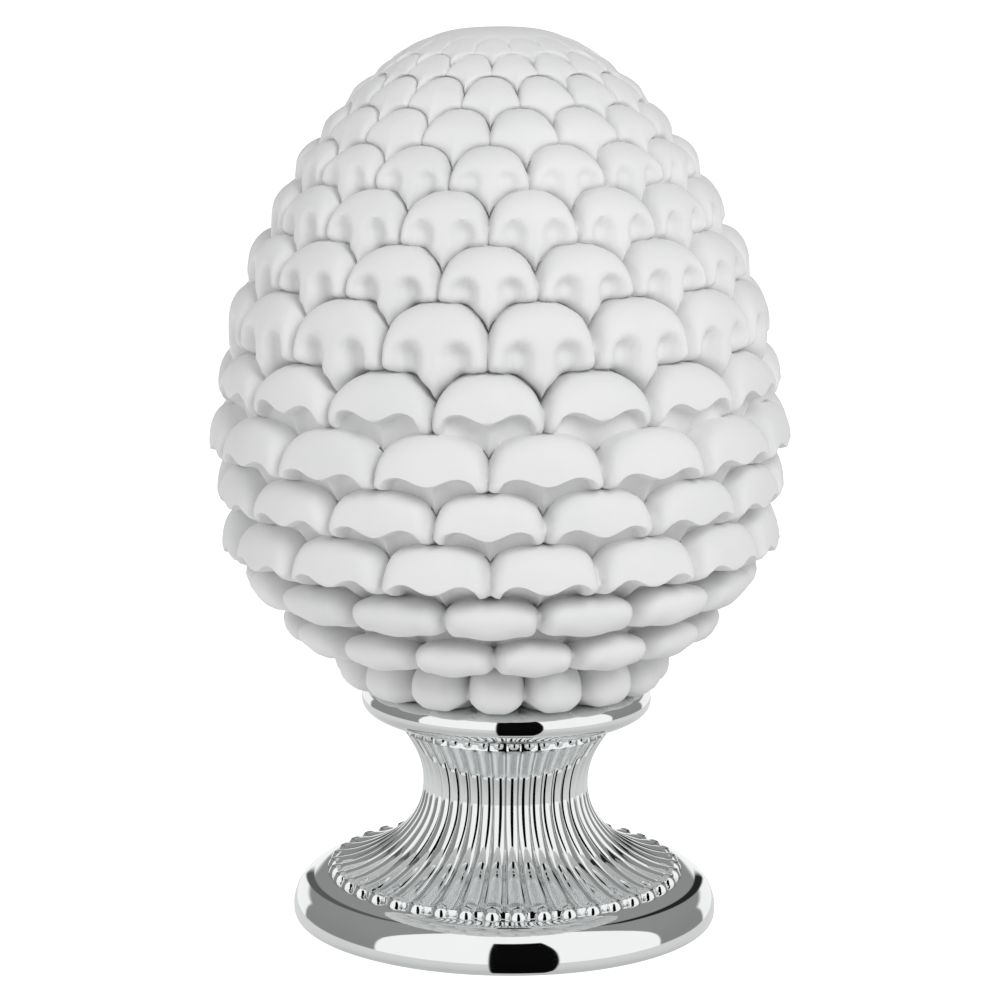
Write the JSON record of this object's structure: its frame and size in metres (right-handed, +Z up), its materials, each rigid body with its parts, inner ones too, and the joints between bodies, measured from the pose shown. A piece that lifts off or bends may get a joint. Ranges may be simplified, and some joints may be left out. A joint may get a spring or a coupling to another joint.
{
  "type": "pinecone finial ornament",
  "caption": "Free-standing table ornament: a moulded pinecone with overlapping rounded scales, seated on a waisted, reeded and beaded pedestal with a smooth round foot.",
  "frame": {"origin": "centre of the foot's flat underside, on the table", "axes": "+Z up along the pedestal; -Y is the side the picture was taken from; +X is to the right in the picture"},
  "size_m": [0.1925, 0.1924, 0.3],
  "materials": {
    "bisque": "matt white, unglazed",
    "chrome": "mirror polished"
  },
  "bodies": {
    "root": {"pinecone": "bisque", "pedestal": "chrome"}
  },
  "joints": []
}
